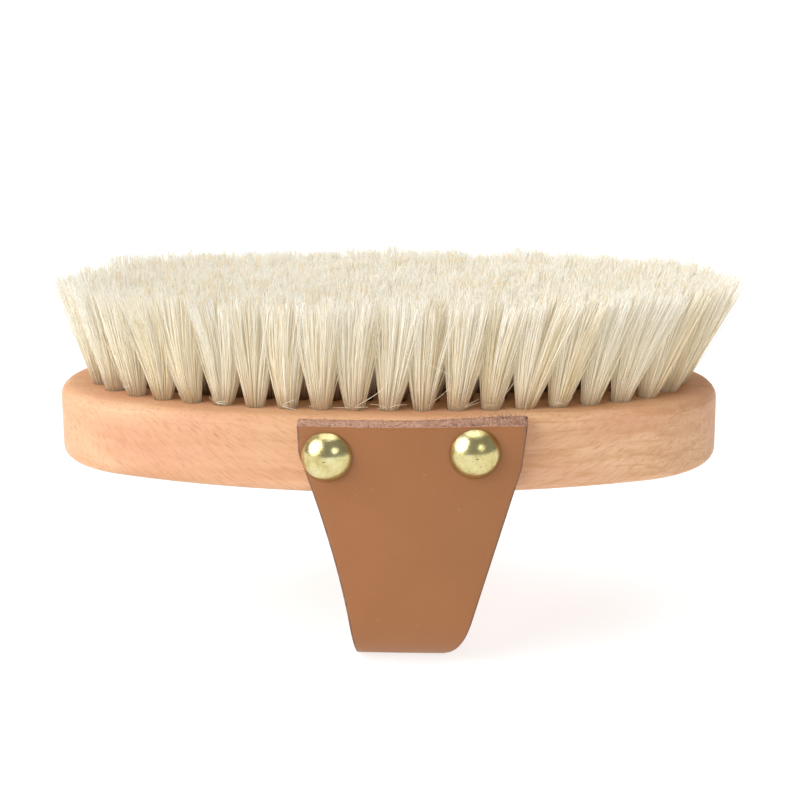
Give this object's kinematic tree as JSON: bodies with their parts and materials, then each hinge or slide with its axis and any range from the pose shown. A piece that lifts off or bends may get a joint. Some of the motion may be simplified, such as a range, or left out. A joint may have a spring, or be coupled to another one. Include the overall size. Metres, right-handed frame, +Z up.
{
  "type": "body dry brush",
  "caption": "Oval wooden body brush with dense tufted hair bristles and a leather hand strap nailed to its sides.",
  "frame": {"origin": "under the middle of the brush, at the underside of the strap's loop, on which the brush stands", "axes": "+X along the block, +Y from the front to the rear, +Z up from the strap to the bristle tips"},
  "size_m": [0.1402, 0.0755, 0.071],
  "materials": {
    "beech": "sanded and waxed",
    "bristle_hair": "natural goat hair",
    "steel_wire": "bright drawn wire",
    "tan_leather": "smooth grain, raw cut edges",
    "brass": "polished, lightly pitted"
  },
  "bodies": {
    "brush": {"wood_block": "beech", "tufts_outer_row": "bristle_hair", "tufts_second_row": "bristle_hair", "tufts_third_row": "bristle_hair", "tufts_centre_rows": "bristle_hair", "anchors_outer_row": "steel_wire", "anchors_second_row": "steel_wire", "anchors_third_row": "steel_wire", "anchors_centre_rows": "steel_wire", "strap_end_front": "tan_leather", "strap_arm_front": "tan_leather", "strap_arm_rear": "tan_leather", "strap_end_rear": "tan_leather", "nail_cap_front_left": "brass", "nail_cap_front_right": "brass", "nail_cap_rear_left": "brass", "nail_cap_rear_right": "brass", "nail_shank_front_left": "steel_wire", "nail_shank_front_right": "steel_wire", "nail_shank_rear_left": "steel_wire", "nail_shank_rear_right": "steel_wire"},
    "strap_loop": {"strap_bridge": "tan_leather"}
  },
  "joints": [
    {"name": "strap_sway", "type": "slide", "parent": "brush", "child": "strap_loop", "axis": [0, 1, 0], "range_m": [-0.006, 0.006], "stiffness_N_per_m": 800, "deforming": ["strap_arm_front", "strap_arm_rear"]}
  ]
}
